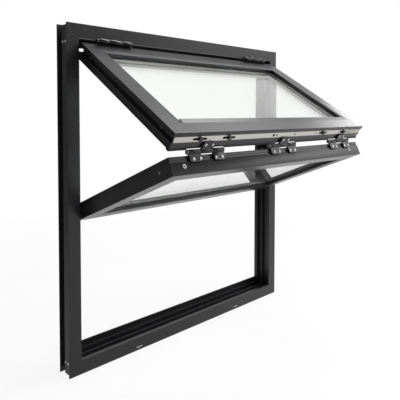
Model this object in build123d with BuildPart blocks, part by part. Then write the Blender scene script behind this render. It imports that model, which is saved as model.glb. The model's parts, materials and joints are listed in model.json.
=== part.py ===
from build123d import *
from math import acos, atan2, cos, hypot, sin
import os

os.makedirs("parts", exist_ok=True)

# Outer frame, measured over its front flange
frame_width = 1010
frame_height = 1050
face_width = 42
frame_depth = 80
wall = 2
flange_thickness = 3
flange_lap = 5
seat_depth = 32
fin_front = 55
fin_root = 16

# Guide track and second groove in the inner side of every frame member, and the stop lip behind sill and head
lip_depth = 13
track_width = 27
track_floor = 28
rib_thickness = 3
rib_setback = 3
back_leg = 15
stop_rise = 19
stop_thickness = 3

# Drain slots in the sill face
drain_length = 26
drain_height = 5
drain_inset = 262
drain_rise = 11

# Sash section, seen from its outer face
sash_clearance = 2
sash_thickness = 48
sash_flat = 44
bevel_width = 13
bevel_drop = 4
face_leg = 12
sash_wall = 2.5
groove_width = 16
groove_depth = 9
shoulder_depth = 34
edge_recess = 2
ridge_width = 2
middle_ridge = 39

# Sealed glass unit
glass_thickness = 5
spacer_depth = 9
spacer_width = 7
spacer_setback = 6
glass_clearance = 3
gasket_thickness = 2
gasket_width = 8
mitre_gap = 0.3

# Folded pose: the guide rollers have run this far up the tracks from the closed sill
roller_lift = 438
upper_reach = 490
top_gap = 8
fold_gap = 6
top_pin_offset = 10
fold_pin_offset = 8
sill_gap = 3
roller_rise = 5

# Top hinges
top_hinge_inset = 163
top_hinge_length = 124
top_knuckle_length = 50
top_barrel_radius = 9
top_pin_radius = 3
top_leaf_thickness = 2
top_leaf_depth = 11
leaf_corner = 4
knuckle_gap = 0.5
pin_head_radius = 6
pin_head_height = 3

# Fold hinges
fold_hinge_inset = 129
fold_hinge_length = 130
fold_knuckle_length = 43
fold_barrel_radius = 6.5
fold_pin_radius = 3
fold_leaf_thickness = 5
fold_leaf_depth = 19
fold_leaf_width = 42

# Seal strips behind the bottom edge of the upper sash, cut short at the fold hinges
seal_thickness = 3.5
seal_height = 10
seal_cut = 4

# Locking gear in the bottom edge of the upper sash
bar_thickness = 3
bar_end_clearance = 5
gear_plate_left = -99
gear_plate_right = 62
gear_hole_radius = 3.5
gear_hole_insets = (34, 49, 141)
bar_gap = 0.5
slot_length = 50
slot_width = 7
left_stud_insets = (92, 200)
right_stud_insets = (124, 257)
stud_neck = 5
stud_head_radius = 7
stud_head_height = 4.5

# Guide rollers
roller_radius = 13
roller_width = 10
roller_setback = 2
axle_radius = 3
axle_seat = 14

# Derived places: the origin is the middle of the seat under the sill
half_width = frame_width / 2
frame_bottom = -flange_lap
frame_top = frame_bottom + frame_height
front_y = -flange_thickness - seat_depth / 2
back_y = front_y + frame_depth
track_end = lip_depth + track_width
back_start = frame_depth - back_leg
sash_half = half_width - face_width - sash_clearance
sash_face = sash_flat + bevel_width
top_hinge_place = half_width - top_hinge_inset
fold_hinge_place = sash_half - fold_hinge_inset
drain_place = half_width - drain_inset

across = Vector(1, 0, 0)
upward = Vector(0, 0, 1)
inward = Vector(0, 1, 0)

# Top pin, fold pin and roller make a triangle whose sides give the swing of the upper sash
top_pin_y = front_y - top_pin_offset
top_pin_z = frame_top - face_width - top_gap / 2
roller_depth = lip_depth + track_width / 2
roller_y = front_y + roller_depth
closed_roller_z = frame_bottom + face_width + sill_gap + roller_rise
lifted_roller_z = closed_roller_z + roller_lift
lower_reach = top_pin_z - closed_roller_z - upper_reach
upper_offset = top_pin_offset + sash_thickness + fold_pin_offset
roller_offset = sash_thickness + fold_pin_offset - roller_depth
upper_arm = hypot(upper_reach, upper_offset)
lower_arm = hypot(lower_reach, roller_offset)
span_y = roller_y - top_pin_y
span_z = top_pin_z - lifted_roller_z
span = hypot(span_y, span_z)
pin_angle = acos((upper_arm**2 + span**2 - lower_arm**2) / (2 * upper_arm * span))
swing = pin_angle - atan2(span_y, span_z) + atan2(upper_offset, upper_reach)
upper_plane = Plane(
    origin=(0, top_pin_y, top_pin_z),
    x_dir=across,
    z_dir=(0, -cos(swing), sin(swing)),
)
upper_top = -top_gap / 2
upper_bottom = -upper_reach + fold_gap / 2
upper_front = -top_pin_offset
fold_back = -upper_offset

# The lower sash turns about the fold pins, and its rollers stay in the tracks
fold_point = upper_plane.from_local_coords(Vector(0, -upper_reach, fold_back))
fold_turn = atan2(roller_offset, lower_reach) + atan2(roller_y - fold_point.Y, fold_point.Z - lifted_roller_z)
lower_plane = Plane(
    origin=fold_point,
    x_dir=across,
    z_dir=(0, -cos(fold_turn), -sin(fold_turn)),
)
lower_top = -fold_gap / 2
lower_bottom = -lower_reach - roller_rise
lower_back = fold_pin_offset
lower_front = lower_back + sash_thickness

# Sections are drawn with the first number going in from the outer edge, the second going back from the face
frame_outline = [
    (0, 0),
    (face_width, 0),
    (face_width, lip_depth),
    (track_floor, lip_depth),
    (track_floor, track_end),
    (face_width - rib_setback, track_end),
    (face_width - rib_setback, track_end + rib_thickness),
    (track_floor, track_end + rib_thickness),
    (track_floor, back_start),
    (face_width, back_start),
    (face_width, frame_depth),
    (fin_root, frame_depth),
    (fin_root, fin_front + wall),
    (0, fin_front + wall),
    (0, fin_front),
    (fin_root, fin_front),
    (fin_root, flange_thickness + seat_depth),
    (flange_lap, flange_thickness + seat_depth),
    (flange_lap, flange_thickness),
    (0, flange_thickness),
]
frame_chambers = [
    (flange_lap + wall, flange_thickness, face_width - wall, lip_depth - wall),
    (flange_lap + wall, lip_depth, track_floor - wall, flange_thickness + seat_depth - wall),
    (fin_root + wall, flange_thickness + seat_depth, track_floor - wall, back_start),
    (fin_root + wall, back_start + wall, face_width - wall, frame_depth - wall),
]
groove_end = face_leg + groove_width
ridge_start = sash_thickness - ridge_width
chamber_start = edge_recess + sash_wall
grooved_outline = [
    (0, 0),
    (sash_flat, 0),
    (sash_face, bevel_drop),
    (sash_face, face_leg),
    (sash_flat, face_leg),
    (sash_flat, sash_thickness),
    (0, sash_thickness),
    (0, ridge_start),
    (edge_recess, ridge_start),
    (edge_recess, shoulder_depth),
    (0, shoulder_depth),
    (0, groove_end),
    (groove_depth, groove_end),
    (groove_depth, face_leg),
    (0, face_leg),
]
grooved_chambers = [
    (sash_wall, sash_wall, sash_flat, face_leg - sash_wall),
    (groove_depth + sash_wall, face_leg, sash_flat - sash_wall, groove_end),
    (chamber_start, groove_end + sash_wall, sash_flat - sash_wall, sash_thickness - sash_wall),
]
plain_outline = [
    (0, 0),
    (sash_flat, 0),
    (sash_face, bevel_drop),
    (sash_face, face_leg),
    (sash_flat, face_leg),
    (sash_flat, sash_thickness),
    (0, sash_thickness),
    (0, ridge_start),
    (edge_recess, ridge_start),
    (edge_recess, middle_ridge + ridge_width),
    (0, middle_ridge + ridge_width),
    (0, middle_ridge),
    (edge_recess, middle_ridge),
    (edge_recess, shoulder_depth),
    (0, shoulder_depth),
]
plain_chambers = [
    (sash_wall, sash_wall, sash_flat, face_leg - sash_wall),
    (chamber_start, face_leg, sash_flat - sash_wall, sash_thickness - sash_wall),
]
glass_start = face_leg + gasket_thickness
glass_end = glass_start + 2 * glass_thickness + spacer_depth
bead_start = glass_end + gasket_thickness
bead_depth = sash_thickness - bead_start


# One straight length of a section, mitred at both ends
def member(corner, along, into, length, outline, chambers):
    depth = along.cross(into)
    with BuildSketch(Plane(origin=corner, x_dir=into, z_dir=along)) as section:
        with BuildLine():
            Polyline(*outline, close=True)
        make_face()
        for low_u, low_v, high_u, high_v in chambers:
            with Locations(((low_u + high_u) / 2, (low_v + high_v) / 2)):
                Rectangle(high_u - low_u, high_v - low_v, mode=Mode.SUBTRACT)
    extrude(section.sketch, amount=length)
    split(bisect_by=Plane(origin=corner, x_dir=depth, z_dir=along - into))
    split(bisect_by=Plane(origin=corner + along * length, x_dir=depth, z_dir=-along - into))


# A member of the outer frame by side
def frame_side(side):
    low = Vector(0, front_y, frame_bottom)
    high = Vector(0, front_y, frame_top)
    edge = across * half_width
    places = {
        "sill": (low + edge, -across, upward, frame_width),
        "left": (low - edge, upward, across, frame_height),
        "head": (high - edge, across, -upward, frame_width),
        "right": (high + edge, -upward, -across, frame_height),
    }
    member(*places[side], frame_outline, frame_chambers)


# A member of a sash by side, on the plane of that sash
def sash_side(side, plane, bottom, top, front, outline, chambers):
    rise = plane.y_dir
    low_left = plane.from_local_coords(Vector(-sash_half, bottom, front))
    low_right = plane.from_local_coords(Vector(sash_half, bottom, front))
    high_left = plane.from_local_coords(Vector(-sash_half, top, front))
    high_right = plane.from_local_coords(Vector(sash_half, top, front))
    places = {
        "bottom": (low_right, -across, rise, 2 * sash_half),
        "left": (low_left, rise, across, top - bottom),
        "top": (high_left, across, -rise, 2 * sash_half),
        "right": (high_right, -rise, -across, top - bottom),
    }
    member(*places[side], outline, chambers)


def upper_side(side):
    sash_side(side, upper_plane, upper_bottom, upper_top, upper_front, grooved_outline, grooved_chambers)


def lower_side(side):
    sash_side(side, lower_plane, lower_bottom, lower_top, lower_front, plain_outline, plain_chambers)


# A flat ring or pane on a sash, set in from the sash edges and back from its face
def pane(plane, bottom, top, front, edge, back, thickness, ring=0):
    width = 2 * (sash_half - edge)
    height = top - bottom - 2 * edge
    middle = (top + bottom) / 2
    with BuildSketch(plane.offset(front - back)) as section:
        with Locations((0, middle)):
            Rectangle(width, height)
            if ring:
                Rectangle(width - 2 * ring, height - 2 * ring, mode=Mode.SUBTRACT)
    extrude(section.sketch, amount=-thickness)


# Four beads of one sash: a ring with its inner rims chamfered, cut apart by a hair at the mitres
def beads(piece, plane, bottom, top, front):
    pane(plane, bottom, top, front, sash_flat, bead_start, bead_depth, bevel_width)
    rims = [wire.edges() for face in piece.faces().filter_by(plane) for wire in face.inner_wires()]
    chamfer([edge for rim in rims for edge in rim], bevel_drop)
    corner_x = sash_half - sash_flat
    low_y = bottom + sash_flat
    high_y = top - sash_flat
    with BuildSketch(plane.offset(front - bead_start)) as mitres:
        with Locations((-corner_x, low_y), (corner_x, high_y)):
            Rectangle(4 * bevel_width, mitre_gap, rotation=45)
        with Locations((corner_x, low_y), (-corner_x, high_y)):
            Rectangle(4 * bevel_width, mitre_gap, rotation=-45)
    extrude(mitres.sketch, amount=-bead_depth, mode=Mode.SUBTRACT)


# A round bar or tube lying across the window
def barrel(centre, start, end, radius, bore=0, mode=Mode.ADD):
    with BuildSketch(Plane(origin=centre + across * start, x_dir=inward, z_dir=across)) as section:
        Circle(radius)
        if bore:
            Circle(bore, mode=Mode.SUBTRACT)
    extrude(section.sketch, amount=end - start, mode=mode)


# A hinge leaf lying on an edge, with tongues that reach back to its knuckles
def leaf(pin, reach, thickness, place, width, near, far, tongues):
    with BuildSketch(Plane(origin=pin, x_dir=across, z_dir=across.cross(reach))) as section:
        with Locations((place, (near + far) / 2)):
            Rectangle(width, far - near)
        for start, end in tongues:
            with Locations((place + (start + end) / 2, near / 2)):
                Rectangle(end - start, near)
        chamfer(section.vertices().sort_by(Axis.Y)[-2:], leaf_corner)
    extrude(section.sketch, amount=thickness)


# Knuckles and leaf of one hinge half, bored for the pin
def hinge_half(axis, pin, reach, thickness, place, width, near, far, knuckles, radius, bore):
    leaf(pin, reach, thickness, place, width, near, far, knuckles)
    for start, end in knuckles:
        barrel(axis, place + start, place + end, radius)
    for start, end in knuckles:
        barrel(axis, place + start, place + end, bore, mode=Mode.SUBTRACT)


# Hinge pin with a button head at its left end
def hinge_pin(axis, place, length, radius):
    barrel(axis, place - length / 2, place + length / 2, radius)
    barrel(axis, place - length / 2 - pin_head_height, place - length / 2, pin_head_radius)


# Stop lip along the back edge of the sill or the head
def stop_lip(middle_z):
    with BuildSketch(Plane(origin=(0, back_y, middle_z), x_dir=across, z_dir=inward)) as section:
        Rectangle(2 * (half_width - face_width), stop_rise)
    extrude(section.sketch, amount=-stop_thickness)


def finish(piece, name):
    piece.part.label = name
    export_step(piece.part, "parts/" + name + ".step")


# Outer frame
with BuildPart() as head:
    frame_side("head")
    stop_lip(frame_top - face_width - stop_rise / 2)
finish(head, "head")

with BuildPart() as sill:
    frame_side("sill")
    with BuildSketch(Plane(origin=(0, front_y, frame_bottom), x_dir=across, z_dir=-inward)):
        with Locations((-drain_place, drain_rise), (drain_place, drain_rise)):
            SlotOverall(drain_length, drain_height)
    extrude(amount=-flange_thickness, mode=Mode.SUBTRACT)
    stop_lip(frame_bottom + face_width + stop_rise / 2)
finish(sill, "sill")

with BuildPart() as left_jamb:
    frame_side("left")
finish(left_jamb, "left_jamb")

with BuildPart() as right_jamb:
    frame_side("right")
finish(right_jamb, "right_jamb")

# Upper sash
with BuildPart() as upper_top_rail:
    upper_side("top")
finish(upper_top_rail, "upper_top_rail")

with BuildPart() as upper_bottom_rail:
    upper_side("bottom")
finish(upper_bottom_rail, "upper_bottom_rail")

with BuildPart() as upper_left_stile:
    upper_side("left")
finish(upper_left_stile, "upper_left_stile")

with BuildPart() as upper_right_stile:
    upper_side("right")
finish(upper_right_stile, "upper_right_stile")

glass_edge = sash_flat + glass_clearance
spacer_start = glass_start + glass_thickness
inner_pane_start = spacer_start + spacer_depth

with BuildPart() as upper_glass:
    pane(upper_plane, upper_bottom, upper_top, upper_front, glass_edge, glass_start, glass_thickness)
    pane(upper_plane, upper_bottom, upper_top, upper_front, glass_edge, inner_pane_start, glass_thickness)
finish(upper_glass, "upper_glass")

spacer_edge = glass_edge + spacer_setback

with BuildPart() as upper_spacer:
    pane(upper_plane, upper_bottom, upper_top, upper_front, spacer_edge, spacer_start, spacer_depth, spacer_width)
finish(upper_spacer, "upper_glass_spacer")

with BuildPart() as upper_gaskets:
    pane(upper_plane, upper_bottom, upper_top, upper_front, glass_edge, face_leg, gasket_thickness, gasket_width)
    pane(upper_plane, upper_bottom, upper_top, upper_front, glass_edge, glass_end, gasket_thickness, gasket_width)
finish(upper_gaskets, "upper_glazing_gaskets")

with BuildPart() as upper_beads:
    beads(upper_beads, upper_plane, upper_bottom, upper_top, upper_front)
finish(upper_beads, "upper_glazing_beads")

# Lower sash
roller_z = lower_front - roller_depth
roller_point = lower_plane.from_local_coords(Vector(0, -lower_reach, roller_z))
axle_start = sash_half - axle_seat


def left_axle_hole():
    barrel(roller_point, -sash_half, -axle_start, axle_radius, mode=Mode.SUBTRACT)


def right_axle_hole():
    barrel(roller_point, axle_start, sash_half, axle_radius, mode=Mode.SUBTRACT)


with BuildPart() as lower_top_rail:
    lower_side("top")
finish(lower_top_rail, "lower_top_rail")

with BuildPart() as lower_bottom_rail:
    lower_side("bottom")
    left_axle_hole()
    right_axle_hole()
finish(lower_bottom_rail, "lower_bottom_rail")

with BuildPart() as lower_left_stile:
    lower_side("left")
    left_axle_hole()
finish(lower_left_stile, "lower_left_stile")

with BuildPart() as lower_right_stile:
    lower_side("right")
    right_axle_hole()
finish(lower_right_stile, "lower_right_stile")

with BuildPart() as lower_glass:
    pane(lower_plane, lower_bottom, lower_top, lower_front, glass_edge, glass_start, glass_thickness)
    pane(lower_plane, lower_bottom, lower_top, lower_front, glass_edge, inner_pane_start, glass_thickness)
finish(lower_glass, "lower_glass")

with BuildPart() as lower_spacer:
    pane(lower_plane, lower_bottom, lower_top, lower_front, spacer_edge, spacer_start, spacer_depth, spacer_width)
finish(lower_spacer, "lower_glass_spacer")

with BuildPart() as lower_gaskets:
    pane(lower_plane, lower_bottom, lower_top, lower_front, glass_edge, face_leg, gasket_thickness, gasket_width)
    pane(lower_plane, lower_bottom, lower_top, lower_front, glass_edge, glass_end, gasket_thickness, gasket_width)
finish(lower_gaskets, "lower_glazing_gaskets")

with BuildPart() as lower_beads:
    beads(lower_beads, lower_plane, lower_bottom, lower_top, lower_front)
finish(lower_beads, "lower_glazing_beads")

# Top hinges: one leaf under the head, one on the top edge of the upper sash
top_axis = Vector(0, top_pin_y, top_pin_z)
head_underside = Vector(0, top_pin_y, frame_top - face_width)
sash_top_edge = upper_plane.from_local_coords(Vector(0, upper_top, 0))
top_near = top_barrel_radius + knuckle_gap
top_far = top_pin_offset + top_leaf_depth
top_end = top_hinge_length / 2
top_middle = top_knuckle_length / 2
top_outer_knuckles = [(-top_end, -top_middle - knuckle_gap), (top_middle + knuckle_gap, top_end)]
top_inner_knuckles = [(-top_middle, top_middle)]


def top_frame_leaf(place):
    hinge_half(
        top_axis,
        head_underside,
        inward,
        -top_leaf_thickness,
        place,
        top_hinge_length,
        top_near,
        top_far,
        top_outer_knuckles,
        top_barrel_radius,
        top_pin_radius,
    )


def top_sash_leaf(place):
    hinge_half(
        top_axis,
        sash_top_edge,
        -upper_plane.z_dir,
        top_leaf_thickness,
        place,
        top_hinge_length,
        top_near,
        top_far,
        top_inner_knuckles,
        top_barrel_radius,
        top_pin_radius,
    )


with BuildPart() as left_top_frame_leaf:
    top_frame_leaf(-top_hinge_place)
finish(left_top_frame_leaf, "left_top_hinge_frame_leaf")

with BuildPart() as right_top_frame_leaf:
    top_frame_leaf(top_hinge_place)
finish(right_top_frame_leaf, "right_top_hinge_frame_leaf")

with BuildPart() as left_top_sash_leaf:
    top_sash_leaf(-top_hinge_place)
finish(left_top_sash_leaf, "left_top_hinge_sash_leaf")

with BuildPart() as right_top_sash_leaf:
    top_sash_leaf(top_hinge_place)
finish(right_top_sash_leaf, "right_top_hinge_sash_leaf")

with BuildPart() as left_top_pin:
    hinge_pin(top_axis, -top_hinge_place, top_hinge_length, top_pin_radius)
finish(left_top_pin, "left_top_hinge_pin")

with BuildPart() as right_top_pin:
    hinge_pin(top_axis, top_hinge_place, top_hinge_length, top_pin_radius)
finish(right_top_pin, "right_top_hinge_pin")

# Fold hinges between the sashes: a leaf on the upper one between two leaves on the lower one
upper_fold_edge = upper_plane.from_local_coords(Vector(0, upper_bottom, fold_back))
lower_fold_edge = lower_plane.from_local_coords(Vector(0, lower_top, 0))
fold_near = fold_barrel_radius + knuckle_gap
fold_far = fold_pin_offset + fold_leaf_depth
fold_end = fold_hinge_length / 2
fold_middle = fold_knuckle_length / 2
fold_outer_knuckles = [(-fold_end, -fold_middle - knuckle_gap), (fold_middle + knuckle_gap, fold_end)]
fold_inner_knuckles = [(-fold_middle, fold_middle)]


def fold_upper_leaf(place):
    hinge_half(
        fold_point,
        upper_fold_edge,
        upper_plane.z_dir,
        fold_leaf_thickness,
        place,
        fold_leaf_width,
        fold_near,
        fold_far,
        fold_inner_knuckles,
        fold_barrel_radius,
        fold_pin_radius,
    )


def fold_lower_leaves(place):
    for start, end in fold_outer_knuckles:
        hinge_half(
            fold_point,
            lower_fold_edge,
            lower_plane.z_dir,
            -fold_leaf_thickness,
            place + (start + end) / 2,
            end - start,
            fold_near,
            fold_far,
            [((start - end) / 2, (end - start) / 2)],
            fold_barrel_radius,
            fold_pin_radius,
        )


with BuildPart() as left_fold_upper_leaf:
    fold_upper_leaf(-fold_hinge_place)
finish(left_fold_upper_leaf, "left_fold_hinge_upper_leaf")

with BuildPart() as middle_fold_upper_leaf:
    fold_upper_leaf(0)
finish(middle_fold_upper_leaf, "middle_fold_hinge_upper_leaf")

with BuildPart() as right_fold_upper_leaf:
    fold_upper_leaf(fold_hinge_place)
finish(right_fold_upper_leaf, "right_fold_hinge_upper_leaf")

with BuildPart() as left_fold_lower_leaves:
    fold_lower_leaves(-fold_hinge_place)
finish(left_fold_lower_leaves, "left_fold_hinge_lower_leaves")

with BuildPart() as middle_fold_lower_leaves:
    fold_lower_leaves(0)
finish(middle_fold_lower_leaves, "middle_fold_hinge_lower_leaves")

with BuildPart() as right_fold_lower_leaves:
    fold_lower_leaves(fold_hinge_place)
finish(right_fold_lower_leaves, "right_fold_hinge_lower_leaves")

with BuildPart() as left_fold_pin:
    hinge_pin(fold_point, -fold_hinge_place, fold_hinge_length, fold_pin_radius)
finish(left_fold_pin, "left_fold_hinge_pin")

with BuildPart() as middle_fold_pin:
    hinge_pin(fold_point, 0, fold_hinge_length, fold_pin_radius)
finish(middle_fold_pin, "middle_fold_hinge_pin")

with BuildPart() as right_fold_pin:
    hinge_pin(fold_point, fold_hinge_place, fold_hinge_length, fold_pin_radius)
finish(right_fold_pin, "right_fold_hinge_pin")

# Seal strips between the fold hinges, on the back of the upper bottom rail
seal_notch = fold_end + seal_cut
seal_spans = [
    (-sash_half, -fold_hinge_place - seal_notch),
    (-fold_hinge_place + seal_notch, -seal_notch),
    (seal_notch, fold_hinge_place - seal_notch),
    (fold_hinge_place + seal_notch, sash_half),
]

with BuildPart() as fold_seals:
    with BuildSketch(upper_plane.offset(upper_front - sash_thickness)):
        for start, end in seal_spans:
            with Locations(((start + end) / 2, upper_bottom + seal_height / 2)):
                Rectangle(end - start, seal_height)
    extrude(amount=-seal_thickness)
finish(fold_seals, "fold_seal_strips")

# Locking gear, drawn on the bottom edge of the upper sash
bar_middle = upper_front - face_leg - groove_width / 2
edge_plane = Plane(
    origin=upper_plane.from_local_coords(Vector(0, upper_bottom, bar_middle)),
    x_dir=across,
    z_dir=-upper_plane.y_dir,
)
bar_end = sash_half - bar_end_clearance
left_studs = [inset - sash_half for inset in left_stud_insets]
right_studs = [sash_half - inset for inset in right_stud_insets]
stud_spots = [(place, 0) for place in left_studs + right_studs]
gear_hole_spots = [(gear_plate_left + inset, 0) for inset in gear_hole_insets]
bar_spans = [(-bar_end, gear_plate_left - bar_gap), (gear_plate_right + bar_gap, bar_end)]

with BuildPart() as locking_bars:
    with BuildSketch(edge_plane):
        for start, end in bar_spans:
            with Locations(((start + end) / 2, 0)):
                Rectangle(end - start, groove_width)
        with Locations(*stud_spots):
            SlotOverall(slot_length, slot_width, mode=Mode.SUBTRACT)
    extrude(amount=-bar_thickness)
finish(locking_bars, "locking_bars")

with BuildPart() as gear_plate:
    with BuildSketch(edge_plane):
        with Locations(((gear_plate_left + gear_plate_right) / 2, 0)):
            Rectangle(gear_plate_right - gear_plate_left, groove_width)
        with Locations(*gear_hole_spots):
            Circle(gear_hole_radius, mode=Mode.SUBTRACT)
    extrude(amount=-bar_thickness)
finish(gear_plate, "lock_gear_plate")

with BuildPart() as locking_studs:
    with BuildSketch(edge_plane):
        with Locations(*stud_spots):
            Rectangle(stud_neck, stud_neck)
    extrude(amount=-groove_depth)
    with BuildSketch(edge_plane):
        with Locations(*stud_spots):
            Circle(stud_head_radius)
    extrude(amount=stud_head_height)
finish(locking_studs, "locking_studs")

# Guide rollers on the bottom corners of the lower sash
roller_start = half_width - face_width + roller_setback
roller_end = roller_start + roller_width

with BuildPart() as left_roller:
    barrel(roller_point, -roller_end, -roller_start, roller_radius, axle_radius)
finish(left_roller, "left_guide_roller")

with BuildPart() as right_roller:
    barrel(roller_point, roller_start, roller_end, roller_radius, axle_radius)
finish(right_roller, "right_guide_roller")

with BuildPart() as left_axle:
    barrel(roller_point, -roller_end, -axle_start, axle_radius)
finish(left_axle, "left_roller_axle")

with BuildPart() as right_axle:
    barrel(roller_point, axle_start, roller_end, axle_radius)
finish(right_axle, "right_roller_axle")
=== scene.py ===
import json
import math
import bpy
import bmesh
from mathutils import Matrix, Vector


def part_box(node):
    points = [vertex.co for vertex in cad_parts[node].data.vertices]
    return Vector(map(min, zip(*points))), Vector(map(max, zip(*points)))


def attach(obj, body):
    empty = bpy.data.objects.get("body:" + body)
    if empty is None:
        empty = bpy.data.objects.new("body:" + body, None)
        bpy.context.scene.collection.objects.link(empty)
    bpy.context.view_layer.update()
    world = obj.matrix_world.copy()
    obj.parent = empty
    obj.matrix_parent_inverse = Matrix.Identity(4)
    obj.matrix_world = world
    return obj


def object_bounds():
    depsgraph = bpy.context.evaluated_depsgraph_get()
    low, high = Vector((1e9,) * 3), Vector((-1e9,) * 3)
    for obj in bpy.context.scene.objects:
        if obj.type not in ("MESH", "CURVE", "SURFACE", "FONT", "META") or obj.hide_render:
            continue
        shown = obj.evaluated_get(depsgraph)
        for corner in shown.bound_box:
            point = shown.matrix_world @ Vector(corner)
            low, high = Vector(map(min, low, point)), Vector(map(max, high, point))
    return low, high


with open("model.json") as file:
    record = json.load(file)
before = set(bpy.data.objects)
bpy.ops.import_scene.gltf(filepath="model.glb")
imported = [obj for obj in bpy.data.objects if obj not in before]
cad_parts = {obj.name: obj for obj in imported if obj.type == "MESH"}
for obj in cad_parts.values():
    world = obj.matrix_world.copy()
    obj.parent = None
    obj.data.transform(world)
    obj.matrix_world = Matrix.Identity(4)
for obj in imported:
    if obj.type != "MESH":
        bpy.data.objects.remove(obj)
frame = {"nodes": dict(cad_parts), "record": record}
cadLow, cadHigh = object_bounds()
nodes = frame["nodes"]
scene = bpy.context.scene
mm = 0.001


# sRGB hex to linear colour
def linearColour(hexText):
    parts = [int(hexText[i:i + 2], 16) / 255 for i in (1, 3, 5)]
    return [p / 12.92 if p <= 0.04045 else ((p + 0.055) / 1.055) ** 2.4 for p in parts] + [1.0]


# the sashes hang on three lines across the window: top pins, fold pins, rollers
sash = {
    "halfWidth": 461 * mm,
    "thickness": 48 * mm,
    "topGap": 8 * mm,
    "topPinOffset": 10 * mm,     # top pin line, outside the sash face
    "foldGap": 6 * mm,
    "foldPinOffset": 8 * mm,     # fold pin line, inside the sash back
    "rollerDepth": 26.5 * mm,    # roller line, back from the sash face
    "rollerRise": 5 * mm,        # roller line, up from the bottom edge
}


def middleOf(node):
    low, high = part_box(node)
    return (low + high) / 2


# the sash edge runs along the link between two pins, turned by the offset of the far one
def turned(link, offset):
    reach = math.sqrt(link.y ** 2 + link.z ** 2 - offset ** 2)
    y = reach * link.y + offset * link.z
    z = reach * link.z - offset * link.y
    return Vector((0, y, z)).normalized(), reach


across = Vector((1, 0, 0))
topPin = middleOf("left_top_hinge_pin")
foldPin = middleOf("left_fold_hinge_pin")
roller = middleOf("left_guide_roller")
topPin.x = foldPin.x = roller.x = 0
upperOffset = sash["topPinOffset"] + sash["thickness"] + sash["foldPinOffset"]
upperDown, upperReach = turned(foldPin - topPin, upperOffset)
upperOut = Vector((0, upperDown.z, -upperDown.y))
upperLength = upperReach - sash["topGap"] / 2 - sash["foldGap"] / 2
lowerOffset = sash["thickness"] + sash["foldPinOffset"] - sash["rollerDepth"]
lowerDown, lowerReach = turned(roller - foldPin, -lowerOffset)
lowerOut = Vector((0, lowerDown.z, -lowerDown.y))
lowerLength = lowerReach - sash["foldGap"] / 2 + sash["rollerRise"]


# a point on a sash: along runs down from the top edge, depth goes back from the outer face
def onUpper(x, along, depth):
    down = upperDown * (sash["topGap"] / 2 + along)
    return topPin + across * x + down - upperOut * (sash["topPinOffset"] + depth)


def onLower(x, along, depth):
    down = lowerDown * (sash["foldGap"] / 2 + along)
    back = sash["foldPinOffset"] + sash["thickness"]
    return foldPin + across * x + down + lowerOut * (back - depth)


print("sash lines found: upper", round(upperReach, 4), "lower", round(lowerReach, 4))


def linkInto(tree, node, sources):
    for key, source in sources.items():
        tree.links.new(source, node.inputs[key])


# one node with its settings, and links into its inputs; stops are places and colours on a ramp
def addNode(tree, kind, settings=None, links=None):
    node = tree.nodes.new(kind)
    for key, value in (settings or {}).items():
        if key == "stops":
            for i, (position, colour) in enumerate(value):
                node.color_ramp.elements[i].position = position
                node.color_ramp.elements[i].color = linearColour(colour)
        elif isinstance(key, str) and hasattr(node, key):
            setattr(node, key, value)
        else:
            node.inputs[key].default_value = value
    linkInto(tree, node, links or {})
    return node


# a new material, with the piece's own coordinates to lay patterns by
def startMaterial(name):
    made = bpy.data.materials.new(name)
    made.use_nodes = True
    tree = made.node_tree
    place = addNode(tree, "ShaderNodeTexCoord").outputs["Object"]
    return made, tree, tree.nodes["Principled BSDF"], place


# powder coat baked on extruded aluminium: charcoal satin, a faint orange peel and a fine grain of the powder
coat = {
    "grain": 2.5 * mm,         # 0.3 mm powder, drawn coarser so that it shows
    "cloud": 180 * mm,         # drift of the spray, hand wide
    "darkAt": 0.1,             # value of grain times cloud that takes the dark tone
    "paleAt": 0.45,
    "smoother": 0.06,          # how far the roughness drifts with the cloud
    "rougher": 0.08,
    "peel": 1.8 * mm,          # orange peel
    "peelDepth": 0.1 * mm,
    "ior": 1.5,
}


def powderCoat(name, pale, dark, roughness, gloss, peel):
    made, tree, shader, place = startMaterial(name)
    layers = {}
    for layer, detail in {"grain": 3.0, "cloud": 4.0, "peel": 1.0}.items():
        pattern = {"Scale": 1 / coat[layer], "Detail": detail}
        layers[layer] = addNode(tree, "ShaderNodeTexNoise", pattern, {"Vector": place}).outputs["Fac"]
    both = addNode(tree, "ShaderNodeMath", {"operation": "MULTIPLY"}, {0: layers["grain"], 1: layers["cloud"]})
    stops = ((coat["darkAt"], dark), (coat["paleAt"], pale))
    tone = addNode(tree, "ShaderNodeValToRGB", {"stops": stops}, {"Fac": both.outputs["Value"]})
    drift = {"To Min": roughness - coat["smoother"], "To Max": roughness + coat["rougher"]}
    rough = addNode(tree, "ShaderNodeMapRange", drift, {"Value": layers["cloud"]})
    relief = {"Strength": peel, "Distance": coat["peelDepth"]}
    bump = addNode(tree, "ShaderNodeBump", relief, {"Height": layers["peel"]})
    linkInto(tree, shader, {
        "Base Color": tone.outputs["Color"],
        "Roughness": rough.outputs["Result"],
        "Normal": bump.outputs["Normal"],
    })
    shader.inputs["IOR"].default_value = coat["ior"]
    shader.inputs["Specular IOR Level"].default_value = gloss
    return made


framePaint = powderCoat("powderCoatedAluminiumFrame", "#29292c", "#1d1d20", roughness=0.38, gloss=0.5, peel=0.25)
sashPaint = powderCoat("powderCoatedAluminiumSash", "#29292c", "#1d1d20", roughness=0.3, gloss=0.5, peel=0.25)
hingePaint = powderCoat("powderCoatedCastHinge", "#121214", "#0b0b0c", roughness=0.14, gloss=0.34, peel=0.3)

# rolled strip, zinc plated: pale, with lines drawn along it
strip = {
    "pale": "#e2e0da",
    "dark": "#b4b2ac",
    "lineLength": 60 * mm,
    "lineGap": 0.8 * mm,
    "smoothest": 0.3,
    "roughest": 0.5,
}


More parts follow.
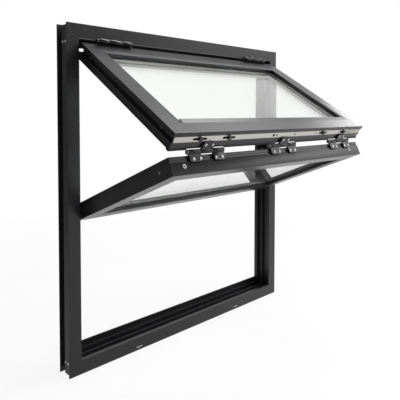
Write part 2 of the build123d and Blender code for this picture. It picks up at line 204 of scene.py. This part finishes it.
def platedStrip(name):
    made, tree, shader, place = startMaterial(name)
    scale = (1 / strip["lineLength"], 1 / strip["lineGap"], 1 / strip["lineGap"])
    drawn = addNode(tree, "ShaderNodeMapping", {"Scale": scale}, {"Vector": place}).outputs["Vector"]
    noise = addNode(tree, "ShaderNodeTexNoise", {"Scale": 1.0, "Detail": 3.0}, {"Vector": drawn})
    lines = noise.outputs["Fac"]
    stops = ((0.0, strip["dark"]), (1.0, strip["pale"]))
    tone = addNode(tree, "ShaderNodeValToRGB", {"stops": stops}, {"Fac": lines})
    drift = {"To Min": strip["smoothest"], "To Max": strip["roughest"]}
    rough = addNode(tree, "ShaderNodeMapRange", drift, {"Value": lines})
    linkInto(tree, shader, {"Base Color": tone.outputs["Color"], "Roughness": rough.outputs["Result"]})
    shader.inputs["Metallic"].default_value = 1.0
    return made


stripMetal = platedStrip("zincPlatedSteelStrip")


# two tones that mix in a fine grain, for the small metal and plastic pieces
def grainedMaterial(name, pale, dark, grainSize, detail):
    made, tree, shader, place = startMaterial(name)
    noise = addNode(tree, "ShaderNodeTexNoise", {"Scale": 1 / grainSize, "Detail": detail}, {"Vector": place})
    grain = noise.outputs["Fac"]
    tone = addNode(tree, "ShaderNodeValToRGB", {"stops": ((0.0, dark), (1.0, pale))}, {"Fac": grain})
    linkInto(tree, shader, {"Base Color": tone.outputs["Color"]})
    return made, tree, shader, grain


# bare metal turned or pressed: a dull shine on screws, pins and the spacer bar
metal = {"smoother": 0.08, "rougher": 0.1}     # how far the roughness drifts with the grain


def bareMetal(name, pale, dark, roughness, grainSize):
    made, tree, shader, grain = grainedMaterial(name, pale, dark, grainSize, detail=2.0)
    drift = {"To Min": roughness - metal["smoother"], "To Max": roughness + metal["rougher"]}
    rough = addNode(tree, "ShaderNodeMapRange", drift, {"Value": grain})
    linkInto(tree, shader, {"Roughness": rough.outputs["Result"]})
    shader.inputs["Metallic"].default_value = 1.0
    return made


screwMetal = bareMetal("zincPlatedScrew", "#f0f0ee", "#d4d4d1", roughness=0.4, grainSize=1.5 * mm)
pinMetal = bareMetal("turnedSteelPin", "#a5a5a2", "#7d7d7a", roughness=0.32, grainSize=1.2 * mm)
# its dark tone is also painted shade, on the discs in the gear plate holes
studSteelAndHoleShade = bareMetal("blackenedSteelStudAndHoleShade", "#4c4c4e", "#2c2c2e", roughness=0.25, grainSize=1.2 * mm)
# the spacer bar's grain is its 2 mm perforations
spacerMetal = bareMetal("rolledAluminiumSpacer", "#d8d8d5", "#b9b9b6", roughness=0.4, grainSize=2 * mm)

# moulded or extruded: the matt skin of rubber gaskets, nylon rollers and white nylon bushes
plastic = {"bump": 0.2, "bumpDepth": 0.1 * mm, "ior": 1.5}


def mouldedPlastic(name, pale, dark, roughness, grainSize):
    made, tree, shader, grain = grainedMaterial(name, pale, dark, grainSize, detail=3.0)
    relief = {"Strength": plastic["bump"], "Distance": plastic["bumpDepth"]}
    bump = addNode(tree, "ShaderNodeBump", relief, {"Height": grain})
    linkInto(tree, shader, {"Normal": bump.outputs["Normal"]})
    shader.inputs["Roughness"].default_value = roughness
    shader.inputs["IOR"].default_value = plastic["ior"]
    return made


gasketRubber = mouldedPlastic("extrudedRubberGasket", "#161616", "#0b0b0b", roughness=0.65, grainSize=1.5 * mm)
rollerNylon = mouldedPlastic("mouldedNylonRoller", "#1c1c1d", "#111112", roughness=0.5, grainSize=2 * mm)
# its white also serves as painted light, on the liners that stand in for the light in the drain slits of the
# sill
whiteNylonAndSlitLight = mouldedPlastic("mouldedWhiteNylonBushAndSlitLight", "#f4f4f0", "#e6e6e1", roughness=0.45, grainSize=1.5 * mm)

# float glass: clear, a trace of wiping marks in its gloss
pane = {"colour": "#fcfdfc", "wipe": 90 * mm, "wipeRoughness": 0.03, "ior": 1.52}


def floatGlass(name):
    made, tree, shader, place = startMaterial(name)
    wipe = addNode(tree, "ShaderNodeTexNoise", {"Scale": 1 / pane["wipe"], "Detail": 3.0}, {"Vector": place})
    drift = {"To Min": 0.0, "To Max": pane["wipeRoughness"]}
    rough = addNode(tree, "ShaderNodeMapRange", drift, {"Value": wipe.outputs["Fac"]})
    linkInto(tree, shader, {"Roughness": rough.outputs["Result"]})
    shader.inputs["Base Color"].default_value = linearColour(pane["colour"])
    shader.inputs["Transmission Weight"].default_value = 1.0
    shader.inputs["IOR"].default_value = pane["ior"]
    return made


glass = floatGlass("clearFloatGlass")
print("materials made:", len(bpy.data.materials))

# edges are rounded a little, so that they catch the light
edges = {
    "widths": {"frame_alu": 0.5 * mm, "sash_alu": 0.5 * mm, "hinge_black": 0.6 * mm, "stud_black": 1.2 * mm},
    "segments": 2,
    "angle": math.radians(35),    # edges that turn less stay as they are
    "weld": 0.01 * mm,
    "flat": math.radians(1),      # faces that turn less than this are one flat
}


def roundEdges(piece, width):
    rounding = piece.modifiers.new("edges", "BEVEL")
    rounding.width = width
    rounding.segments = edges["segments"]
    rounding.limit_method = "ANGLE"
    rounding.angle_limit = edges["angle"]
    rounding.harden_normals = True


# the CAD pieces keep their shapes and take their finishes
finishOf = {
    "frame_alu": framePaint,
    "sash_alu": sashPaint,
    "glass": glass,
    "spacer": spacerMetal,
    "gasket": gasketRubber,
    "hinge_black": hingePaint,
    "pin_steel": pinMetal,
    "lock_silver": stripMetal,
    "stud_black": studSteelAndHoleShade,
    "roller": rollerNylon,
}
for row in frame["record"]["subparts"]:
    node, finish = nodes[row["node"]], row["material_slot"]
    node.data.materials.clear()
    node.data.materials.append(finishOf[finish])
    if finish in edges["widths"]:
        # one face to each flat, so that the rounding stays clean
        node.modifiers.new("weld", "WELD").merge_threshold = edges["weld"]
        flats = node.modifiers.new("flats", "DECIMATE")
        flats.decimate_type = "DISSOLVE"
        flats.angle_limit = edges["flat"]
        roundEdges(node, edges["widths"][finish])
    if finish == "glass":
        node.visible_shadow = False    # clear panes let the lamps through
print("finishes set on", len(nodes), "pieces")


def addPiece(name, mesh, material):
    made = bpy.data.objects.new(name, mesh)
    scene.collection.objects.link(made)
    mesh.materials.append(material)
    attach(made, "root")
    return made


# faces from loop to loop; a ring comes back to its first loop, anything else gets two caps
def skin(bm, loops, ring=False):
    count = len(loops[0])
    for a, b in zip(loops, loops[1:] + loops[:1] if ring else loops[1:]):
        for i in range(count):
            bm.faces.new((a[i], a[(i + 1) % count], b[(i + 1) % count], b[i]))
    if not ring:
        bm.faces.new(list(reversed(loops[0])))
        bm.faces.new(loops[-1])


def meshFrom(bm, name, sharp=40):
    bmesh.ops.recalc_face_normals(bm, faces=bm.faces)
    mesh = bpy.data.meshes.new(name)
    bm.to_mesh(mesh)
    bm.free()
    for face in mesh.polygons:
        face.use_smooth = True
    mesh.set_sharp_from_angle(angle=math.radians(sharp))
    return mesh


# a matrix at a place, with Z along the normal
def facing(place, normal):
    return Matrix.Translation(place) @ normal.to_track_quat("Z", "Y").to_matrix().to_4x4()


# a turned shape from rings of radius and height; a hexed ring is six-sided, a stretch makes a slot of the round
def lathe(bm, matrix, rings, steps=24, stretch=0):
    loops = []
    for radius, height, *hexed in rings:
        loop = []
        for i in range(steps):
            angle = 2 * math.pi * i / steps
            reach = radius
            if hexed:
                fromFlat = angle % (math.pi / 3) - math.pi / 6
                reach = radius * math.cos(math.pi / 6) / math.cos(fromFlat)
            half = math.copysign(stretch, math.cos(angle))
            point = Vector((reach * math.cos(angle) + half, reach * math.sin(angle), height))
            loop.append(bm.verts.new(matrix @ point))
        loops.append(loop)
    skin(bm, loops)


# button head with a hexagon socket, in shares of its radius and height
buttonHead = (
    (1.0, 0.25),
    (0.9, 0.7),
    (0.68, 1.0),
    (0.34, 1.0, "hexed"),
    (0.3, 0.45, "hexed"),
    (0.1, 0.25),
)


def screwRings(radius, height, sink=0.3 * mm):
    head = [(radius * wide, height * tall, *hexed) for wide, tall, *hexed in buttonHead]
    return [(radius, -sink)] + head


# thin trim over the bevel round each glass
glazingTrim = {
    "start": 43.6 * mm,    # in from the sash edge, just short of where the flat face ends
    "reach": 57 * mm,      # in from the sash edge, where the bevel ends
    "drop": 1.5 * mm,      # fall of its face from start to reach
    "foot": 1.2 * mm,      # depth of its back at the start
    "lip": 4.4 * mm,       # depth of its back at the reach, just past the bevel
    "round": 0.5 * mm,
    "sharp": 5,            # degrees; its faces stay flat
}
trimSection = (
    (glazingTrim["start"], 0),
    (glazingTrim["reach"], glazingTrim["drop"]),
    (glazingTrim["reach"], glazingTrim["lip"]),
    (glazingTrim["start"], glazingTrim["foot"]),
)
for name, onSash, length in (("upper", onUpper, upperLength), ("lower", onLower, lowerLength)):
    bm = bmesh.new()
    loops = []
    for inset, depth in trimSection:
        x = sash["halfWidth"] - inset
        corners = ((-x, inset), (x, inset), (x, length - inset), (-x, length - inset))
        loops.append([bm.verts.new(onSash(side, along, depth)) for side, along in corners])
    skin(bm, loops, ring=True)
    mesh = meshFrom(bm, name + "GlazingTrim", glazingTrim["sharp"])
    trim = addPiece(name + "_glazing_trim", mesh, sashPaint)
    roundEdges(trim, glazingTrim["round"])

# drip bar between the stiles at the foot of the upper glass, its face tipped down and out
dripBar = {
    "reach": 61 * mm,    # up from the sash's bottom edge
    "rise": 1.9 * mm,    # its brow, out from the sash face
    "taper": 4 * mm,     # over which the brow falls to the trim at each end
    "lap": 1 * mm,       # how far its back laps the trim
}
halfLong = sash["halfWidth"] - glazingTrim["reach"]
fullLong = halfLong - dripBar["taper"]
low, high = glazingTrim["drop"], -dripBar["rise"]
bm = bmesh.new()
loops = []
for x, brow in ((-halfLong, low), (-fullLong, high), (fullLong, high), (halfLong, low)):
    barSection = (
        (glazingTrim["start"], 0),
        (dripBar["reach"], brow),
        (dripBar["reach"], glazingTrim["lip"]),
        (glazingTrim["reach"] - dripBar["lap"], glazingTrim["lip"]),
        (glazingTrim["start"], glazingTrim["foot"]),
    )
    loops.append([bm.verts.new(onUpper(x, upperLength - inset, depth)) for inset, depth in barSection])
skin(bm, loops)
bar = addPiece("upper_glass_drip_bar", meshFrom(bm, "dripBar", glazingTrim["sharp"]), sashPaint)
roundEdges(bar, glazingTrim["round"])
print("trims set round the glass")

# button screws through the fold hinge leaves
hingeScrews = {
    "lowerPlaces": (-52 * mm, -28 * mm, 28 * mm, 52 * mm),
    "lowerDepth": 36.5 * mm,
    "lowerRadius": 4.6 * mm,
    "upperPlaces": (-12.5 * mm, 12.5 * mm),
    "upperDepth": 36 * mm,
    "upperRadius": 4.14 * mm,
    "leafThickness": 5 * mm,
    "height": 2.4 * mm,
}
lowerRings = screwRings(hingeScrews["lowerRadius"], hingeScrews["height"])
upperRings = screwRings(hingeScrews["upperRadius"], hingeScrews["height"])
for side in ("left", "middle", "right"):
    centre = middleOf(side + "_fold_hinge_lower_leaves").x
    bm = bmesh.new()
    for x in hingeScrews["lowerPlaces"]:
        spot = onLower(centre + x, -hingeScrews["leafThickness"], hingeScrews["lowerDepth"])
        lathe(bm, facing(spot, -lowerDown), lowerRings)
    for x in hingeScrews["upperPlaces"]:
        spot = onUpper(centre + x, upperLength + hingeScrews["leafThickness"], hingeScrews["upperDepth"])
        lathe(bm, facing(spot, upperDown), upperRings)
    addPiece(side + "_fold_hinge_screws", meshFrom(bm, side + "HingeScrews"), screwMetal)

# white bushes in the top edge of the lower sash, one near each end
edgeBushes = {
    "places": (-416 * mm, 393 * mm),
    "depth": 22 * mm,
    "rings": (                     # radius and height of the skirt, the rim and the bore
        (6.0 * mm, -0.3 * mm),
        (6.0 * mm, 0.4 * mm),
        (5.16 * mm, 0.8 * mm),
        (2.86 * mm, 0.8 * mm),
        (2.6 * mm, 0.48 * mm),
        (2.6 * mm, -0.2 * mm),
    ),
}
bm = bmesh.new()
for x in edgeBushes["places"]:
    lathe(bm, facing(onLower(x, 0, edgeBushes["depth"]), -lowerDown), edgeBushes["rings"])
addPiece("lower_sash_edge_bushes", meshFrom(bm, "edgeBushes"), whiteNylonAndSlitLight)

# screws that join the sash corners, in the sides of the stiles
sashScrews = {
    "upperAlong": (53 * mm, 424 * mm),
    "upperDepth": 23 * mm,
    "upperGroove": 9 * mm,
    "lowerAlong": 45 * mm,
    "lowerDepth": 22.5 * mm,
    "radius": 4 * mm,
    "height": 1.2 * mm,
}
rings = screwRings(sashScrews["radius"], sashScrews["height"])
bm = bmesh.new()
for sign in (-1, 1):
    inGroove = sash["halfWidth"] - sashScrews["upperGroove"]
    spots = [onUpper(sign * inGroove, along, sashScrews["upperDepth"]) for along in sashScrews["upperAlong"]]
    spots.append(onLower(sign * sash["halfWidth"], sashScrews["lowerAlong"], sashScrews["lowerDepth"]))
    for spot in spots:
        lathe(bm, facing(spot, across * sign), rings)
addPiece("sash_corner_screws", meshFrom(bm, "sashCornerScrews"), pinMetal)

# screws that join the frame corners, in the sides of the jambs
frameScrews = {
    "side": 500 * mm,
    "heights": (33.5 * mm, 991 * mm),
    "depths": (-4 * mm, 11.5 * mm),
    "radius": 4 * mm,
    "height": 1.2 * mm,
}
rings = screwRings(frameScrews["radius"], frameScrews["height"])
bm = bmesh.new()
for sign in (-1, 1):
    for z in frameScrews["heights"]:
        for y in frameScrews["depths"]:
            lathe(bm, facing(Vector((sign * frameScrews["side"], y, z)), across * sign), rings)
addPiece("frame_corner_screws", meshFrom(bm, "frameCornerScrews"), screwMetal)

# pale liners in the drain slots of the sill, painted light: their white stands in for the light that shows in
# the slits
drainSlitLight = {
    "places": (-243 * mm, 243 * mm),
    "height": 5 * mm,
    "face": -19 * mm,
    "length": 24 * mm,
    "width": 2.6 * mm,
    "rings": (                     # share of the half width, and height off the face
        (0.98, -2 * mm),
        (0.98, 0.1 * mm),
        (0.85, 0.4 * mm),
        (0.6, 0.4 * mm),
        (0.5, -0.6 * mm),
    ),
    "steps": 32,
}
halfWide = drainSlitLight["width"] / 2
rings = [(halfWide * wide, height) for wide, height in drainSlitLight["rings"]]
bm = bmesh.new()
for x in drainSlitLight["places"]:
    matrix = facing(Vector((x, drainSlitLight["face"], drainSlitLight["height"])), Vector((0, -1, 0)))
    lathe(bm, matrix, rings, drainSlitLight["steps"], drainSlitLight["length"] / 2 - halfWide)
addPiece("drain_slot_painted_light", meshFrom(bm, "drainSlitLight"), whiteNylonAndSlitLight)

# toothed tail of the right locking bar
barTail = {
    "start": 374 * mm,
    "end": 454 * mm,
    "near": 13 * mm,
    "far": 27 * mm,
    "pitch": 10 * mm,
    "rise": 2.4 * mm,
    "tooth": ((0.1, 1.0), (0.5, 1.0), (0.6, 0.1), (0.95, 0.1)),    # shares of the pitch and the rise
}
teeth = int((barTail["end"] - barTail["start"]) / barTail["pitch"])
rows = [(barTail["start"], 0)]
for i in range(teeth):
    x = barTail["start"] + i * barTail["pitch"]
    rows += [(x + barTail["pitch"] * share, barTail["rise"] * tall) for share, tall in barTail["tooth"]]
rows.append((barTail["end"], 0))
bm = bmesh.new()
loops = []
for depth in (barTail["near"], barTail["far"]):
    loops.append([bm.verts.new(onUpper(x, upperLength + rise, depth)) for x, rise in rows])
skin(bm, loops)
addPiece("locking_bar_tail", meshFrom(bm, "barTail"), stripMetal)

# dark screw in the lock gear plate and a rivet in the right bar; the dark plugs in the holes of the plate are
# painted shade, standing in for the shade deep in the holes
gearScrewsAndHoleShade = {
    "depth": 20 * mm,
    "screwPlaces": {-65 * mm: 4.6 * mm, 163 * mm: 2.6 * mm},    # place along the edge, and radius
    "screwHeight": 1.4 * mm,
    "holeShadePlaces": (-50 * mm, 42 * mm),
    "holeShadeRadius": 3.3 * mm,
    "holeShadeHeight": 0.4 * mm,
    "holeShadeSink": 2.5 * mm,
}
ringsAt = {x: screwRings(radius, gearScrewsAndHoleShade["screwHeight"]) for x, radius in gearScrewsAndHoleShade["screwPlaces"].items()}
# painted shade: dark discs sunk in the holes stand in for the shade deep inside them
for x in gearScrewsAndHoleShade["holeShadePlaces"]:
    ringsAt[x] = screwRings(gearScrewsAndHoleShade["holeShadeRadius"], gearScrewsAndHoleShade["holeShadeHeight"], gearScrewsAndHoleShade["holeShadeSink"])
bm = bmesh.new()
for x, rings in ringsAt.items():
    lathe(bm, facing(onUpper(x, upperLength, gearScrewsAndHoleShade["depth"]), upperDown), rings)
addPiece("lock_gear_screws_and_hole_shade", meshFrom(bm, "gearScrewsAndHoleShade"), studSteelAndHoleShade)
print("screws and bushes set")

# pale floor, a softbox high on the right, and a room that is darker on the left
stage = {
    "floorDrop": 0.5 * mm,
    "floorSize": 14.0,
    "floorColour": "#fbfbfb",
    "floorRoughness": 0.9,
    "floorGlow": 0.88,             # share of plain white seen near the window, the rest keeps the shadow
    "shadowReach": (0.9, 2.4),     # metres from the middle over which that share grows to all of it
    "leftGlow": 0.2,               # how bright the floor mirrors at the far left
    "leftReach": (-1.5, 0.5),      # metres across over which that grows to full
    "white": "#ffffff",
    "brightSide": (0.8, 0.3, 0.35),
    "darkSide": 0.16,
    "lightSide": 0.85,
    "sideReach": (-0.1, 0.7),      # how far a direction leans to the bright side, from dark to light
    "ambient": 0.6,                # share of the room's brightness that falls on matt faces
}


# rays that see plain white, straight or through glass, and glossy ones if asked
def seenWhite(tree, withGlossy):
    rays = addNode(tree, "ShaderNodeLightPath").outputs
    straight = {0: rays["Is Camera Ray"], 1: rays["Is Transmission Ray"]}
    seen = addNode(tree, "ShaderNodeMath", {"operation": "MAXIMUM"}, straight).outputs["Value"]
    glossy = rays["Is Glossy Ray"]
    if withGlossy:
        seen = addNode(tree, "ShaderNodeMath", {"operation": "MAXIMUM"}, {0: seen, 1: glossy}).outputs["Value"]
    return seen, glossy


# floor paint put on with a roller: matt white, keeps a soft shadow
def floorPaint(name):
    made, tree, shader, place = startMaterial(name)
    shader.inputs["Base Color"].default_value = linearColour(stage["floorColour"])
    shader.inputs["Roughness"].default_value = stage["floorRoughness"]
    away = addNode(tree, "ShaderNodeVectorMath", {"operation": "LENGTH"}, {0: place})
    near, far = stage["shadowReach"]
    growth = {"From Min": near, "From Max": far, "To Min": stage["floorGlow"], "To Max": 1.0}
    fade = addNode(tree, "ShaderNodeMapRange", growth, {"Value": away.outputs["Value"]})
    apart = addNode(tree, "ShaderNodeSeparateXYZ", None, {0: place})
    left, right = stage["leftReach"]
    growth = {"From Min": left, "From Max": right, "To Min": stage["leftGlow"], "To Max": 1.0}
    mirrored = addNode(tree, "ShaderNodeMapRange", growth, {"Value": apart.outputs["X"]})
    seen, glossy = seenWhite(tree, True)
    share = addNode(tree, "ShaderNodeMath", {"operation": "MULTIPLY"}, {0: seen, 1: fade.outputs["Result"]})
    notGlossy = addNode(tree, "ShaderNodeMath", {"operation": "SUBTRACT", 0: 1.0}, {1: glossy})
    brighter = {0: mirrored.outputs["Result"], 1: notGlossy.outputs["Value"]}
    strength = addNode(tree, "ShaderNodeMath", {"operation": "MAXIMUM"}, brighter).outputs["Value"]
    glow = addNode(tree, "ShaderNodeEmission", {"Color": linearColour(stage["white"])}, {"Strength": strength})
    both = {0: share.outputs["Value"], 1: shader.outputs["BSDF"], 2: glow.outputs["Emission"]}
    mixed = addNode(tree, "ShaderNodeMixShader", None, both)
    linkInto(tree, tree.nodes["Material Output"], {"Surface": mixed.outputs["Shader"]})
    return made


half = stage["floorSize"] / 2
floorLevel = cadLow.z - stage["floorDrop"]
corners = [(x, y, floorLevel) for x, y in ((-half, -half), (half, -half), (half, half), (-half, half))]
mesh = bpy.data.meshes.new("floor")
mesh.from_pydata(corners, [], [(0, 1, 2, 3)])
mesh.materials.append(floorPaint("rolledMattFloorPaint"))
floor = bpy.data.objects.new("floor", mesh)
scene.collection.objects.link(floor)

world = bpy.data.worlds.new("studio")
scene.world = world
world.use_nodes = True
tree = world.node_tree
room = tree.nodes["Background"]
room.inputs["Color"].default_value = linearColour(stage["white"])
place = addNode(tree, "ShaderNodeTexCoord").outputs["Generated"]
lean = {"operation": "DOT_PRODUCT", 1: stage["brightSide"]}
toBright = addNode(tree, "ShaderNodeVectorMath", lean, {0: place})
start, end = stage["sideReach"]
growth = {"From Min": start, "From Max": end, "To Min": stage["darkSide"], "To Max": stage["lightSide"]}
side = addNode(tree, "ShaderNodeMapRange", growth, {"Value": toBright.outputs["Value"]})
seen, glossy = seenWhite(tree, False)
lit = addNode(tree, "ShaderNodeMapRange", {"To Min": stage["ambient"], "To Max": 1.0}, {"Value": glossy})
both = {0: side.outputs["Result"], 1: lit.outputs["Result"]}
shaded = addNode(tree, "ShaderNodeMath", {"operation": "MULTIPLY"}, both)
strength = addNode(tree, "ShaderNodeMath", {"operation": "MAXIMUM"}, {0: seen, 1: shaded.outputs["Value"]})
linkInto(tree, room, {"Strength": strength.outputs["Value"]})

lamps = {
    "softboxRight": {"place": (1.3, -0.5, 3.0), "aim": (0.0, -0.2, 0.8), "size": 1.3, "power": 44},
    "rightLow": {"place": (3.1, 0.3, 1.65), "aim": (0.3, -0.3, 0.75), "size": 0.6, "power": 11},
    "overhead": {"place": (-0.2, -0.9, 3.0), "aim": (0.0, -0.2, 0.6), "size": 2.0, "power": 30},
    "rightFront": {"place": (2.4, -1.8, 1.9), "aim": (0.0, 0.0, 0.5), "size": 1.4, "power": 12},
}
for name, values in lamps.items():
    lamp = bpy.data.lights.new(name, "AREA")
    lamp.size = values["size"]
    lamp.energy = values["power"]
    holder = bpy.data.objects.new(name, lamp)
    scene.collection.objects.link(holder)
    holder.location = values["place"]
    look = Vector(values["aim"]) - Vector(values["place"])
    holder.rotation_euler = look.to_track_quat("-Z", "Y").to_euler()

# the photo's view
shot = {
    "place": (-1.2069, -1.2627, 0.7802),
    "yaw": 43.388,        # degrees to the right of straight on
    "pitch": -2.162,      # degrees up from level
    "lens": 43.06,
    "sensor": 36,
    "shiftX": 0.0352,
    "shiftY": -0.1707,
}
cameraData = bpy.data.cameras.new("camera")
cameraData.sensor_width = shot["sensor"]
cameraData.lens = shot["lens"]
cameraData.shift_x = shot["shiftX"]
cameraData.shift_y = shot["shiftY"]
camera = bpy.data.objects.new("camera", cameraData)
scene.collection.objects.link(camera)
camera.location = shot["place"]
camera.rotation_euler = (math.radians(90 + shot["pitch"]), 0, math.radians(-shot["yaw"]))
scene.camera = camera
scene.view_settings.view_transform = "Standard"
print("stage and camera set")
